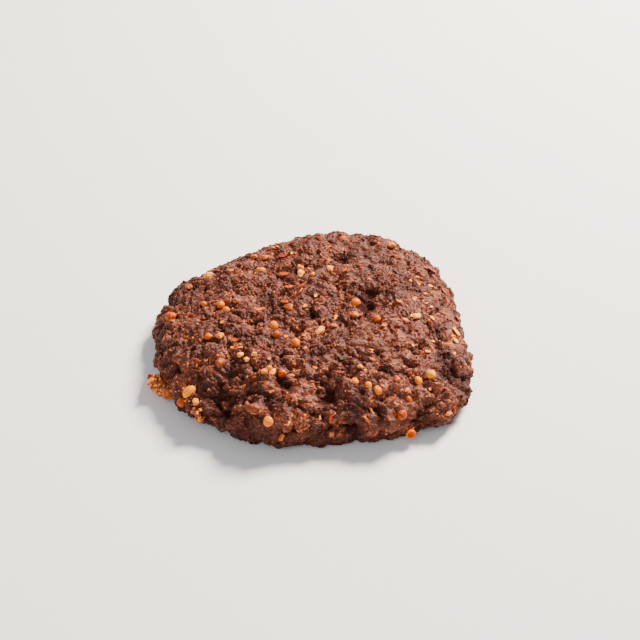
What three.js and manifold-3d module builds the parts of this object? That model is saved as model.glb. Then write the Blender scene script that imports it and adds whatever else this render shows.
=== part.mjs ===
// A chapli kebab: a hand-pressed patty of coarse spiced mince, fried until its crust is dark and craggy.
// Whole coriander seeds, crumbs of onion and fat and one soft chunk stand out of the crust.
// Millimetres, +Z up, and +Y points away from someone who looks at it from the front.
// The origin is on the flat underside, below the middle of the patty's box.

import * as THREE from "three";
import { mergeVertices } from "three/addons/utils/BufferGeometryUtils.js";
import Module from "manifold-3d";

const wasm = await Module();
wasm.setup();

// The patty's driving dimensions.
const HEIGHT = 21;
// Plan outline: radii at even steps of bearing, from +X round towards +Y.
const RIM_RADII = [60, 61, 64, 65, 61, 55, 52, 53, 58, 61, 61, 63, 64, 61, 60, 64, 71, 66];
// Moves the outline so that the box's middle is over the origin.
const SHIFT = [-0.4, 1.1];
// Cross-section from the top's middle to where the patty stands: share of the rim radius, share of HEIGHT.
const PROFILE = [
  [0, 1],
  [0.35, 0.985],
  [0.62, 0.94],
  [0.83, 0.81],
  [0.95, 0.6],
  [1, 0.36],
  [0.985, 0.16],
  [0.92, -0.04],
];
// The section is drawn at this radius, and each bearing's rim radius stretches it.
const SECTION_RADIUS = 60;
// Share of a sphere's polar angle that the section takes. The rest is the underside.
const SIDE_SHARE = 0.72;
// The rounded underside ends this far below the plane that cuts it flat.
const UNDERSIDE_DEPTH = 2.4;
// The crust's relief dies out over this share of the underside.
const UNDERSIDE_FADE = 0.25;

// Relief of the crust: hand-pressed swells, then clumps of mince with creases between them.
const SWELLS = [
  { size: 21, height: 1.5, seed: 11 },
  { size: 10, height: 0.9, seed: 23 },
];
const CLUMPS = [
  { size: 7.5, height: 2.3, seed: 31 },
  { size: 4.6, height: 1.3, seed: 47 },
];
// The clumps are drawn out of round by up to this much, over swells of this size.
const CLUMP_WARP = { reach: 1.7, size: 4.2, seeds: [97, 98, 99] };
// The clumps are pressed flatter from the front to the back: their share of height there, between these places.
const PRESSED = { share: 0.6, front: -40, back: 0 };
// How fast a clump falls away from its middle, and the level that counts as the crust's own.
const CLUMP_FALL = 1.6;
const CLUMP_LEVEL = 0.5;
// Pits, valleys and swellings of this patty: bearing in degrees, way down the side, radius, height.
const FORMS = [
  [19, 0.33, 4.5, -3.0],
  [358, 0.29, 4, -3.0],
  [282, 0.08, 4.5, -2.2],
  [65, 0.38, 3.5, -2.4],
  [58, 0.59, 3.5, -2.0],
  [58, 0.24, 3.5, -1.6],
  [259, 0.58, 4.5, -2.4],
  [302, 0.42, 4, -1.8],
  [278, 0.64, 5, -2.2],
  [282, 0.86, 6, -2.0],
  [331, 0.78, 6, -2.6],
  [340, 0.66, 4.5, -1.6],
  [308, 0.83, 6.5, -2.2],
  [187, 0.82, 6, -1.8],
  [242, 0.7, 8, -2.4],
  [236, 0.92, 8, -1.0],
  [256, 0.8, 11, 2.0],
  [296, 0.78, 9, 1.4],
  [214, 0.5, 15, 1.8],
  [60, 0.35, 20, 1.4],
];

// Coriander seeds that show from the front: bearing in degrees, way down the side, width.
const SEEDS_SEEN = [
  [223, 0.79, 4.5],
  [180, 0.72, 4.4],
  [12, 0.24, 4.2],
  [320, 0.66, 4.1],
  [213, 0.9, 4.0],
  [256, 0.79, 3.8],
  [304, 0.9, 3.7],
  [302, 0.8, 3.7],
  [225, 0.24, 3.6],
  [257, 0.31, 3.6],
  [223, 0.86, 3.6],
  [256, 0.52, 3.4],
  [296, 0.63, 3.3],
  [298, 0.68, 3.3],
  [72, 0.58, 3.2],
  [291, 0.6, 3.1],
  [178, 0.45, 3.1],
  [188, 0.42, 3.0],
  [236, 0.27, 3.0],
  [307, 0.73, 2.9],
  [341, 0.33, 2.8],
  [315, 0.65, 2.8],
  [208, 0.55, 2.7],
];
// Crumbs of onion and fat, longer than they are wide: bearing in degrees, way down the side, width.
const CRUMBS_SEEN = [
  [226, 0.59, 3.6],
  [348, 0.72, 3.3],
  [118, 0.33, 3.2],
  [230, 0.83, 3.2],
  [31, 0.75, 3.0],
  [134, 0.43, 3.0],
  [351, 0.53, 3.0],
  [154, 0.63, 3.0],
  [189, 0.25, 3.0],
  [201, 0.11, 3.0],
  [339, 0.22, 2.8],
  [100, 0.35, 2.8],
  [145, 0.57, 2.8],
  [102, 0.27, 2.7],
  [285, 0.21, 2.7],
  [220, 0.45, 2.7],
  [231, 0.5, 2.7],
  [351, 0.6, 2.6],
  [119, 0.57, 2.6],
  [250, 0.53, 2.6],
];
const CRUMB_STRETCH = 1.35;
// A soft chunk low on the front.
const CHUNK = { bearing: 250, way: 0.74, width: 5.2, stretch: 1.6, spin: 0.2 };
// A nub of crumbs that hangs on at the left foot.
const NUB = { bearing: 206, way: 0.9, crumbs: 6, width: 3.4, spread: 1.7, rises: [0.2, 0.95] };
// The back, from one bearing to the other, has seeds of its own, spread evenly.
const BACK = { from: 35, to: 165, ways: [0.84, 0.95], seeds: 14, widths: [2.8, 4.2] };
// The middle of a seed is above the crust by this share of its width.
const RISE = 0.1;

const PATTY_DETAIL = 19;
const SEED_DETAIL = 1;
const GOLDEN_SHARE = (Math.sqrt(5) - 1) / 2;
const { degToRad, clamp, lerp, smoothstep } = THREE.MathUtils;

// A draw from 0 to 1 that whole numbers fix, so that every run makes the same patty.
function chance(a, b = 0, c = 0) {
  let h = Math.imul(a, 374761393) ^ Math.imul(b, 668265263) ^ Math.imul(c, 1274126177);
  h = Math.imul(h ^ (h >>> 15), 2246822519);
  h = Math.imul(h ^ (h >>> 13), 3266489917);
  return ((h ^ (h >>> 16)) >>> 0) / 2 ** 32;
}

// Smooth noise from -1 to 1 whose swells are about size across.
function swell(p, { size, seed }) {
  const q = p.clone().divideScalar(size);
  const cell = q.clone().floor();
  const ease = (t) => smoothstep(t, 0, 1);
  const corner = (i, j, k) => chance(cell.x + i, cell.y + j, (cell.z + k) * 101 + seed);
  const row = (j, k) => lerp(corner(0, j, k), corner(1, j, k), ease(q.x - cell.x));
  const layer = (k) => lerp(row(0, k), row(1, k), ease(q.y - cell.y));
  return 2 * lerp(layer(0), layer(1), ease(q.z - cell.z)) - 1;
}

// Rounded bumps about size across, 1 on a bump and 0 or less in the creases between bumps.
function clump(p, { size, seed }) {
  const q = p.clone().divideScalar(size);
  const cell = q.clone().floor();
  const middle = new THREE.Vector3();
  let nearest = Infinity;
  for (let x = cell.x - 1; x <= cell.x + 1; x++)
    for (let y = cell.y - 1; y <= cell.y + 1; y++)
      for (let z = cell.z - 1; z <= cell.z + 1; z++) {
        const draw = (n) => chance(x, y, z * 103 + seed + n);
        middle.set(x + draw(0), y + draw(1), z + draw(2));
        nearest = Math.min(nearest, q.distanceToSquared(middle));
      }
  return 1 - CLUMP_FALL * nearest;
}

// The outline's radius at a bearing: a smooth curve through the radii of RIM_RADII.
function rimRadius(bearing) {
  const steps = RIM_RADII.length;
  const turn = bearing / (2 * Math.PI);
  const at = (turn - Math.floor(turn)) * steps;
  const i = Math.floor(at);
  const f = at - i;
  const [a, b, c, d] = [-1, 0, 1, 2].map((n) => RIM_RADII[(i + n + steps) % steps]);
  return b + 0.5 * f * (c - a + f * (2 * a - 5 * b + 4 * c - d + f * (3 * (b - c) + d - a)));
}

const sectionCurve = new THREE.CatmullRomCurve3(
  PROFILE.map(([share, height]) => new THREE.Vector3(share * SECTION_RADIUS, height * HEIGHT, 0)),
  false,
  "catmullrom",
);
sectionCurve.arcLengthDivisions = 400;

// Way is 0 at the top's middle and 1 at the underside's edge, evenly along the section.
const polarAt = (way) => way * Math.PI * SIDE_SHARE;
// From 0 at the underside's edge to 1 at its middle.
const inwardAt = (polar) => Math.max(0, (polar / Math.PI - SIDE_SHARE) / (1 - SIDE_SHARE));

// The patty's point at a bearing and a polar angle, before its relief.
function smoothPoint(bearing, polar) {
  const edge = sectionCurve.getPointAt(Math.min(polar / polarAt(1), 1));
  const inward = inwardAt(polar);
  const radius = (edge.x / SECTION_RADIUS) * (1 - inward) * rimRadius(bearing);
  const drop = (UNDERSIDE_DEPTH + edge.y) * Math.sin((inward * Math.PI) / 2);
  return new THREE.Vector3(
    radius * Math.cos(bearing) + SHIFT[0],
    radius * Math.sin(bearing) + SHIFT[1],
    edge.y - drop,
  );
}

function smoothNormal(bearing, polar) {
  const step = 1e-3;
  const safe = clamp(polar, 2 * step, Math.PI - 2 * step);
  const down = smoothPoint(bearing, safe + step).sub(smoothPoint(bearing, safe - step));
  const round = smoothPoint(bearing + step, safe).sub(smoothPoint(bearing - step, safe));
  return down.cross(round).normalize();
}

const forms = FORMS.map(([bearing, way, radius, height]) => ({
  middle: smoothPoint(degToRad(bearing), polarAt(way)),
  radius,
  height,
}));

// Moved about by swells, so that the clumps laid out by it are less regular.
function warped(p) {
  const { reach, size, seeds } = CLUMP_WARP;
  const push = new THREE.Vector3(...seeds.map((seed) => swell(p, { size, seed })));
  return p.clone().addScaledVector(push, reach);
}

function relief(p) {
  const drawn = warped(p);
  const pressed = lerp(1, PRESSED.share, smoothstep(p.y, PRESSED.front, PRESSED.back));
  let height = 0;
  for (const layer of SWELLS) height += layer.height * swell(p, layer);
  for (const layer of CLUMPS) height += pressed * layer.height * (clump(drawn, layer) - CLUMP_LEVEL);
  for (const form of forms) {
    const away = p.distanceTo(form.middle) / form.radius;
    height += form.height * Math.exp(-away * away);
  }
  return height;
}

// The crust's point and outward direction at a bearing and a polar angle.
function crust(bearing, polar) {
  const out = smoothNormal(bearing, polar);
  const p = smoothPoint(bearing, polar);
  const fade = smoothstep(1 - inwardAt(polar) / UNDERSIDE_FADE, 0, 1);
  return { point: p.clone().addScaledVector(out, relief(p) * fade), out };
}

// A geometry of positions alone, with its shared corners joined.
function joined(geometry) {
  geometry.deleteAttribute("normal");
  geometry.deleteAttribute("uv");
  return mergeVertices(geometry);
}

function solidFrom(geometry) {
  return new wasm.Manifold(
    new wasm.Mesh({
      numProp: 3,
      vertProperties: geometry.attributes.position.array,
      triVerts: new Uint32Array(geometry.index.array),
    }),
  );
}

function geometryFrom(solid) {
  const { vertProperties, triVerts } = solid.getMesh();
  const geometry = new THREE.BufferGeometry();
  geometry.setAttribute("position", new THREE.BufferAttribute(vertProperties, 3));
  geometry.setIndex(new THREE.BufferAttribute(triVerts, 1));
  geometry.computeVertexNormals();
  return geometry;
}

// A ball whose every corner is moved out to the crust, with the underside cut flat.
function pattySolid() {
  const ball = joined(new THREE.IcosahedronGeometry(1, PATTY_DETAIL));
  const corners = ball.attributes.position;
  for (let i = 0; i < corners.count; i++) {
    const d = new THREE.Vector3().fromBufferAttribute(corners, i).normalize();
    const { point } = crust(Math.atan2(d.y, d.x), Math.acos(d.z));
    corners.setXYZ(i, point.x, point.y, point.z);
  }
  const [side, depth] = [4 * SECTION_RADIUS, HEIGHT];
  const below = new THREE.BoxGeometry(side, side, depth).translate(0, 0, -depth / 2);
  return solidFrom(ball).subtract(solidFrom(joined(below)));
}

// A lump lies part sunk in the crust, with its long side along it, and never below the underside.
function lumpSolid(bearing, polar, width, stretch, spin, rise = RISE) {
  const { point, out } = crust(bearing, polar);
  const lump = new THREE.OctahedronGeometry(width / 2, SEED_DETAIL);
  lump.scale(stretch, 1, 1).rotateZ(spin);
  lump.applyQuaternion(new THREE.Quaternion().setFromUnitVectors(new THREE.Vector3(0, 0, 1), out));
  const middle = point.addScaledVector(out, width * rise);
  lump.translate(middle.x, middle.y, Math.max(middle.z, (width * stretch) / 2));
  return solidFrom(joined(lump));
}

function seenSolids(rows, stretch) {
  return rows.map(([bearing, way, width], i) =>
    lumpSolid(degToRad(bearing), polarAt(way), width, stretch, chance(i, width * 10) * Math.PI),
  );
}

function backSeedSolids() {
  return Array.from({ length: BACK.seeds }, (_, i) => {
    const bearing = degToRad(lerp(BACK.from, BACK.to, (i * GOLDEN_SHARE) % 1));
    const way = lerp(...BACK.ways, (i + chance(i, 1)) / BACK.seeds);
    const width = lerp(...BACK.widths, chance(i, 2));
    return lumpSolid(bearing, polarAt(way), width, 1, chance(i, 3) * Math.PI);
  });
}

function nubSolids() {
  return Array.from({ length: NUB.crumbs }, (_, i) => {
    const turn = (i / NUB.crumbs) * 2 * Math.PI;
    const bearing = degToRad(NUB.bearing) + (NUB.spread * Math.cos(turn)) / rimRadius(degToRad(NUB.bearing));
    const polar = polarAt(NUB.way) + (NUB.spread * Math.sin(turn)) / HEIGHT / 2;
    const rise = lerp(...NUB.rises, i / (NUB.crumbs - 1));
    return lumpSolid(bearing, polar, NUB.width, 1, turn, rise);
  });
}

const chunk = lumpSolid(degToRad(CHUNK.bearing), polarAt(CHUNK.way), CHUNK.width, CHUNK.stretch, CHUNK.spin);

const kebab = new THREE.Mesh(
  geometryFrom(
    wasm.Manifold.union([
      pattySolid(),
      chunk,
      ...seenSolids(SEEDS_SEEN, 1),
      ...seenSolids(CRUMBS_SEEN, CRUMB_STRETCH),
      ...backSeedSolids(),
      ...nubSolids(),
    ]),
  ),
  new THREE.MeshStandardMaterial({ color: 0x6a3c2c, roughness: 0.55, metalness: 0 }),
);
kebab.name = "kebab";

const group = new THREE.Group();
group.add(kebab);
export default group;
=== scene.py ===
# A fried chapli kebab: coarse spiced mince with coriander seeds, onion and chilli in its crust.
# Shapes are worked out in millimetres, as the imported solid's are, and turn to metres when a mesh is made.

import math

import bmesh
import bpy
import numpy as np
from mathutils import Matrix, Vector
from mathutils.bvhtree import BVHTree


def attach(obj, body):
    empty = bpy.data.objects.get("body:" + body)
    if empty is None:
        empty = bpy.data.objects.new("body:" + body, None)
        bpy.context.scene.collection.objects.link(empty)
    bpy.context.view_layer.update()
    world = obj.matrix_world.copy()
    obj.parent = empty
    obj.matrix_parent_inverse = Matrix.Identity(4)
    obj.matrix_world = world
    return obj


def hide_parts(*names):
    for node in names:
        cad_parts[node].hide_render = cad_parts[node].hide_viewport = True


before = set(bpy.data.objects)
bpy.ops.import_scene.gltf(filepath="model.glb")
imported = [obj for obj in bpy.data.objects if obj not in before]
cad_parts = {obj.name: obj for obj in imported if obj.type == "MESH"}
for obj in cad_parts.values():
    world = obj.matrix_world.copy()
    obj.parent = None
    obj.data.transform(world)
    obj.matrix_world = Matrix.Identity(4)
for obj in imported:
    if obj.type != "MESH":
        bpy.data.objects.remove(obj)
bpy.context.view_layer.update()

MM = 0.001

# The patty's driving dimensions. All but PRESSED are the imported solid's own.
HEIGHT = 21
# The rim's radius at even steps of bearing, from the right by way of the back, and where its middle falls.
RIM_RADII = [60, 61, 64, 65, 61, 55, 52, 53, 58, 61, 61, 63, 64, 61, 60, 64, 71, 66]
SHIFT = (-0.4, 1.1)
# The section's knots from the top's middle to the underside: share of the rim's radius, share of HEIGHT.
PROFILE = [
    (0, 1),
    (0.35, 0.985),
    (0.62, 0.94),
    (0.83, 0.81),
    (0.95, 0.6),
    (1, 0.36),
    (0.985, 0.16),
    (0.92, -0.04),
]
SECTION_RADIUS = 60
SECTION_POINTS = 401
# How far the underside would bulge down in the air, and the share of it over which the relief dies out.
UNDERSIDE_DEPTH = 2.4
UNDERSIDE_FADE = 0.25
# Hand-pressed swells, and clumps of mince with creases between them: size, height, seed.
SWELLS = [(21, 1.5, 11), (10, 0.9, 23)]
CLUMPS = [(7.5, 2.3, 31), (4.6, 1.3, 47)]
# How fast a clump falls away from its middle, and the height on it that counts as none.
CLUMP_FALL = 1.6
CLUMP_LEVEL = 0.5
# The clumps' middles are drawn out of round by this much, over swells of this size.
CLUMP_WARP = 1.7
CLUMP_WARP_SIZE = 4.2
WARP_SEED = 97
# The noise has layers with seeds of their own, which lie this many cells apart.
SWELL_LAYER = 101
CLUMP_LAYER = 103
# The clumps are pressed flatter towards the back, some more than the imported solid's are: the share of their
# height that is left there, and the places between which it changes.
PRESSED = {"share": 0.45, "front": -40, "back": 0}
# Pits, valleys and swellings: bearing in degrees, way down the side, radius, height.
FORMS = [
    (19, 0.33, 4.5, -3.0),
    (358, 0.29, 4, -3.0),
    (282, 0.08, 4.5, -2.2),
    (65, 0.38, 3.5, -2.4),
    (58, 0.59, 3.5, -2.0),
    (58, 0.24, 3.5, -1.6),
    (259, 0.58, 4.5, -2.4),
    (302, 0.42, 4, -1.8),
    (278, 0.64, 5, -2.2),
    (282, 0.86, 6, -2.0),
    (331, 0.78, 6, -2.6),
    (340, 0.66, 4.5, -1.6),
    (308, 0.83, 6.5, -2.2),
    (187, 0.82, 6, -1.8),
    (242, 0.7, 8, -2.4),
    (236, 0.92, 8, -1.0),
    (256, 0.8, 11, 2.0),
    (296, 0.78, 9, 1.4),
    (214, 0.5, 15, 1.8),
    (60, 0.35, 20, 1.4),
]

# Finer relief that only this mesh has. Cracks between the clumps and between the grains: size, seed, depth.
CLUMP_CRACKS = [(7.5, 31, 0.6), (4.6, 47, 0.5)]
GRAIN_CRACKS = [(2.3, 61, 0.24), (1.3, 79, 0.24)]
# A crack's width, as a share of the size of its clumps or grains.
CRACK_SHARE = 0.22
# Cracks open only where the crust is torn: the size of such places, and their seed.
TEARS = {"size": 5, "seed": 53}
# Strands of mince: size of the winding, height, seed.
STRANDS = [(5.2, 0.42, 83), (2.6, 0.42, 89), (1.5, 0.44, 101)]
# How high a strand's ridge is, how far it falls away to both sides, and a power, below 1 for a sharp ridge.
STRAND_RIDGE = {"level": 0.6, "fall": 1.6, "power": 0.7}
# Strands and grains wind by this much, over swells of this size.
STRAND_WARP = 0.9
STRAND_WARP_SIZE = 2.2
# The mottle of the crust's tone: size, share, seed. Then how much clumps and grains differ in tone.
MOTTLE = [(17, 0.2, 5), (6, 0.35, 9), (3.2, 0.25, 13)]
GRAIN_TONE = 0.22
# Pores where fat and steam came out: spacing, share of the places that have one, radius, depth.
PORES = {"spacing": 6.5, "share": 0.45, "radius": 1.1, "depth": 1.8, "seed": 107}
# Deep pits, also painted nearly black as painted shade: bearing, way, radius, depth.
PITS = [
    (237, 0.71, 3.0, 1.6),
    (286, 0.75, 3.0, 1.6),
    (258, 0.57, 2.2, 1.3),
    (231, 0.67, 2.2, 1.1),
    (3, 0.29, 2.6, 1.6),
    (20, 0.33, 2.2, 1.2),
    (253, 0.68, 2.2, 1.2),
    (66, 0.41, 2.2, 1.3),
    (330, 0.66, 2.5, 1.5),
    (291, 0.66, 2.0, 1.3),
    (274, 0.11, 2.0, 1.2),
    (255, 0.47, 2.0, 1.3),
    (213, 0.42, 1.9, 1.2),
    (240, 0.6, 1.8, 1.2),
    (234, 0.31, 1.8, 1.1),
    (306, 0.56, 1.8, 1.0),
]
# How much darker a pit's tone is painted, and how much more painted shade it takes, for each millimetre of
# its depth.
PIT_SHADE = 0.35
PIT_SHADE_MIX = 0.5
# No bit comes nearer than this to what the kebab stands on.
FLOOR_GAP = 0.02
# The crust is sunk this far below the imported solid's surface, which leaves room for the loose grains.
LOOSE_DEPTH = 0.4
# The foot and underside lift off the floor where the fine relief is deeper than this, by so much at most.
FOOT_LIFT = {"from": 0.3, "most": 1.6}
# A settled bit's lowest corner lies this deep in what it rests on, which is looked for from this far out.
BED_DEPTH = 0.2
LOOK_BACK = 2.5
# The crease round each seed and crumb, and how many widths of the bit it runs out from its middle.
GROOVE_DEPTH = 0.15
GROOVE_WIDTH = 0.35
GROOVE_REACH = 0.55
# Where shade is painted dark: valleys, fine relief and creases, from this depth on and over this range.
HOLLOW = {"from": 0.4, "over": 1.7, "valleys": 0.6, "fine": 0.9, "groove": 0.5}
# The side is painted darker towards the foot, as painted shade: how much, and up to what height.
FOOT_SHADE = 0.45
FOOT_HEIGHT = 9
# Past this tone, the crust's own mottle gets lighter by only this share.
MOST_TONE = 0.15
PAST_MOST_TONE = 0.3
# Patches of the crust's tone, partly browning and partly painted light and shade: bearing, way, radius, how
# much lighter.
PATCHES = [
    (261, 0.24, 4.5, 0.6),
    (272, 0.32, 3.5, 0.25),
    (304, 0.68, 5.0, 0.5),
    (316, 0.72, 3.5, 0.4),
    (265, 0.77, 4.0, 0.35),
    (221, 0.48, 4.0, 0.5),
    (200, 0.62, 4.0, 0.35),
    (157, 0.62, 4.0, 0.35),
    (36, 0.2, 3.5, 0.35),
    (211, 0.4, 3.0, -0.25),
    (242, 0.52, 4.0, 0.35),
    (251, 0.6, 3.5, 0.25),
    (265, 0.46, 3.5, 0.3),
    (291, 0.53, 3.5, 0.35),
    (276, 0.53, 3.5, 0.3),
    (182, 0.45, 4.0, 0.25),
    (55, 0.73, 5.0, 0.5),
    (17, 0.74, 5.0, 0.4),
    (344, 0.68, 5.0, 0.35),
    (338, 0.77, 4.0, 0.3),
    (328, 0.85, 6.0, -0.55),
    (326, 0.7, 6.0, -0.45),
    (129, 0.7, 6.0, -0.45),
    (141, 0.3, 5.0, -0.3),
    (91, 0.53, 4.5, -0.45),
    (24, 0.46, 5.0, -0.35),
    (8, 0.48, 5.0, -0.3),
    (353, 0.35, 5.0, -0.3),
    (308, 0.29, 5.5, -0.35),
    (250, 0.87, 8.0, -0.45),
    (290, 0.67, 4.0, -0.3),
    (189, 0.78, 5.0, -0.3),
    (54, 0.5, 4.0, -0.25),
    (166, 0.82, 6.0, -0.4),
    (156, 0.76, 4.0, -0.3),
    (71, 0.73, 4.5, -0.3),
    (55, 0.55, 3.5, -0.2),
    (224, 0.49, 4.0, 0.3),
    (281, 0.63, 3.0, 0.4),
    (280, 0.85, 3.5, 0.35),
]
# The top and side take this share of the ball, so that more corners are left for what shows than below.
SIDE_SHARE = 0.82
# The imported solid's own share, by which its nub is laid out.
SOLID_SIDE_SHARE = 0.72

# Coriander seeds: bearing, way, width, length to width, lean, share that is sunk, tone from brown to orange.
SEEDS = [
    (223, 0.79, 4.4, 1.25, 35, 0.52, 0.9),
    (180, 0.72, 4.4, 1.0, 0, 0.65, 0.35),
    (5, 0.24, 3.7, 1.0, 0, 0.6, 0.6),
    (320, 0.66, 3.8, 1.0, 0, 0.58, 0.95),
    (256, 0.79, 3.6, 1.0, 0, 0.58, 0.75),
    (302, 0.8, 3.7, 1.1, 0, 0.7, 0.25),
    (225, 0.24, 3.6, 1.0, 0, 0.55, 0.75),
    (257, 0.3, 3.6, 1.0, 0, 0.6, 0.65),
    (222, 0.86, 3.6, 1.0, 0, 0.6, 0.35),
    (256, 0.52, 3.4, 1.0, 0, 0.65, 0.4),
    (296, 0.63, 3.0, 1.25, 100, 0.68, 0.75),
    (298, 0.67, 3.0, 1.25, 110, 0.68, 0.65),
    (73, 0.59, 3.2, 1.1, 0, 0.6, 0.5),
    (291, 0.6, 2.9, 1.0, 0, 0.68, 0.75),
    (178, 0.45, 3.1, 1.0, 0, 0.6, 0.75),
    (185, 0.42, 3.0, 1.1, 0, 0.6, 0.6),
    (236, 0.27, 3.0, 1.0, 0, 0.65, 0.45),
    (307, 0.73, 2.9, 1.4, 120, 0.6, 0.3),
    (341, 0.33, 2.8, 1.0, 0, 0.65, 0.5),
    (315, 0.65, 2.8, 1.3, 100, 0.6, 0.75),
    (208, 0.55, 2.7, 1.1, 0, 0.6, 0.55),
    (177, 0.54, 2.2, 1.1, 0, 0.5, 0.6),
]
# Crumbs of onion and fat: bearing, way, width, length to width, lean, share sunk, tone from brown to pale.
CRUMBS = [
    (213, 0.9, 4.0, 1.15, -30, 0.5, 0.4),
    (226, 0.59, 3.4, 1.1, 0, 0.5, 0.2),
    (229, 0.8, 2.0, 1.1, 70, 0.4, 0.85),
    (134, 0.43, 2.8, 1.2, 0, 0.55, 0.6),
    (351, 0.53, 2.5, 1.3, 60, 0.4, 1.05),
    (152, 0.65, 2.8, 1.2, 40, 0.42, 1.0),
    (201, 0.11, 2.6, 1.3, 20, 0.6, 0.4),
    (339, 0.22, 2.6, 1.3, 0, 0.6, 0.4),
    (100, 0.315, 2.7, 1.2, 120, 0.45, 0.6),
    (145, 0.57, 2.6, 1.2, 0, 0.6, 0.3),
    (102, 0.255, 2.7, 1.3, 80, 0.4, 1.0),
    (285, 0.21, 2.6, 1.5, 70, 0.5, 0.8),
    (231, 0.5, 2.1, 1.1, 0, 0.45, 1.05),
    (236, 0.51, 1.9, 1.1, 0, 0.35, 0.95),
    (238, 0.47, 1.8, 1.1, 0, 0.35, 0.9),
    (119, 0.57, 2.4, 1.1, 0, 0.55, 0.55),
    (249, 0.52, 2.0, 1.3, 40, 0.5, 0.6),
    (251, 0.53, 2.4, 1.2, 70, 0.5, 0.8),
    (248, 0.55, 2.0, 1.3, 10, 0.5, 0.7),
    (68, 0.27, 2.3, 1.3, -40, 0.45, 0.9),
    (261, 0.86, 1.7, 1.5, 70, 0.5, 0.35),
    (304, 0.2, 2.2, 1.2, 0, 0.6, 0.4),
    (53, 0.69, 2.4, 1.2, 0, 0.5, 0.7),
    (86, 0.21, 2.0, 1.1, 0, 0.5, 0.6),
    (162, 0.69, 2.4, 1.2, 0, 0.5, 0.4),
    (123, 0.64, 2.2, 1.4, 0, 0.5, 0.5),
    (211, 0.5, 2.3, 1.2, 0, 0.5, 0.7),
    (176, 0.38, 2.2, 1.1, 0, 0.6, 0.2),
    (297, 0.52, 1.8, 1.1, 0, 0.45, 0.85),
    (316, 0.85, 1.6, 1.9, 0, 0.5, 0.45),
    (278, 0.86, 1.5, 1.3, 60, 0.5, 0.35),
]
# The soft chunk low on the front, as three crumbs in the form that CRUMBS has.
CHUNK = [
    (250, 0.74, 3.2, 1.35, -5, 0.45, 0.05),
    (247, 0.725, 2.3, 1.2, 60, 0.35, 0.0),
    (252, 0.75, 2.1, 1.2, 30, 0.5, 0.1),
]
# The nub at the left foot. Its crumbs' middles rise by these shares of their width, from first to last.
NUB = {"bearing": 206, "way": 0.9, "crumbs": 6, "width": 3.4, "spread": 1.7, "rises": (0.32, 1.07)}
NUB_CRUMB = {"stretch": 1.1, "tone": 0.25}
# Clusters of granules. Each has a crumb at its core, which these rows give in the form that CRUMBS has.
CLUSTERS = [
    (230, 0.84, 2.4, 1.4, 80, 0.3, 0.1),
    (231, 0.88, 2.0, 1.2, 70, 0.3, 0.1),
]
# The granules of one core or nub crumb, and how many of its sizes they sit out from its middle.
GRANULES = {"count": 26, "widths": (0.8, 2.0), "reach": 0.56, "tones": (0.55, 1.3)}
# The back has seeds of its own from one bearing to the other, spread evenly.
BACK = {"from": 35, "to": 165, "ways": (0.84, 0.95), "seeds": 14, "widths": (2.8, 4.2), "sunk": 0.6}
GOLDEN_SHARE = (math.sqrt(5) - 1) / 2
# Split husks that lie open: bearing, way, width, share that is sunk, tone.
HUSKS = [
    (304, 0.9, 3.7, 0.3, 0.6),
    (186, 0.6, 3.0, 0.6, 0.3),
    (96, 0.85, 3.2, 0.5, 0.4),
    (44, 0.88, 3.4, 0.4, 0.5),
]
# Chilli flakes: bearing, way, width, length to width, lean, share that is sunk, tone from dark to bright.
FLAKES = [
    (31, 0.75, 2.6, 1.6, 150, 0.35, 0.5),
    (27, 0.74, 2.0, 1.8, 165, 0.35, 0.4),
    (34, 0.72, 1.8, 1.6, 120, 0.4, 0.6),
    (26, 0.79, 2.2, 1.5, 140, 0.4, 0.4),
    (3, 0.8, 2.0, 1.5, 100, 0.4, 0.6),
    (109, 0.5, 2.2, 1.6, 20, 0.5, 0.5),
    (307, 0.64, 2.2, 1.5, 130, 0.5, 0.7),
    (278, 0.78, 1.5, 2.4, 80, 0.4, 0.8),
    (11, 0.76, 1.3, 2.6, 80, 0.35, 0.8),
    (44, 0.69, 1.4, 2.6, -15, 0.4, 0.3),
    (150, 0.85, 2.6, 1.5, 60, 0.4, 0.7),
    (70, 0.82, 2.4, 1.6, 10, 0.4, 0.5),
]
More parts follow.
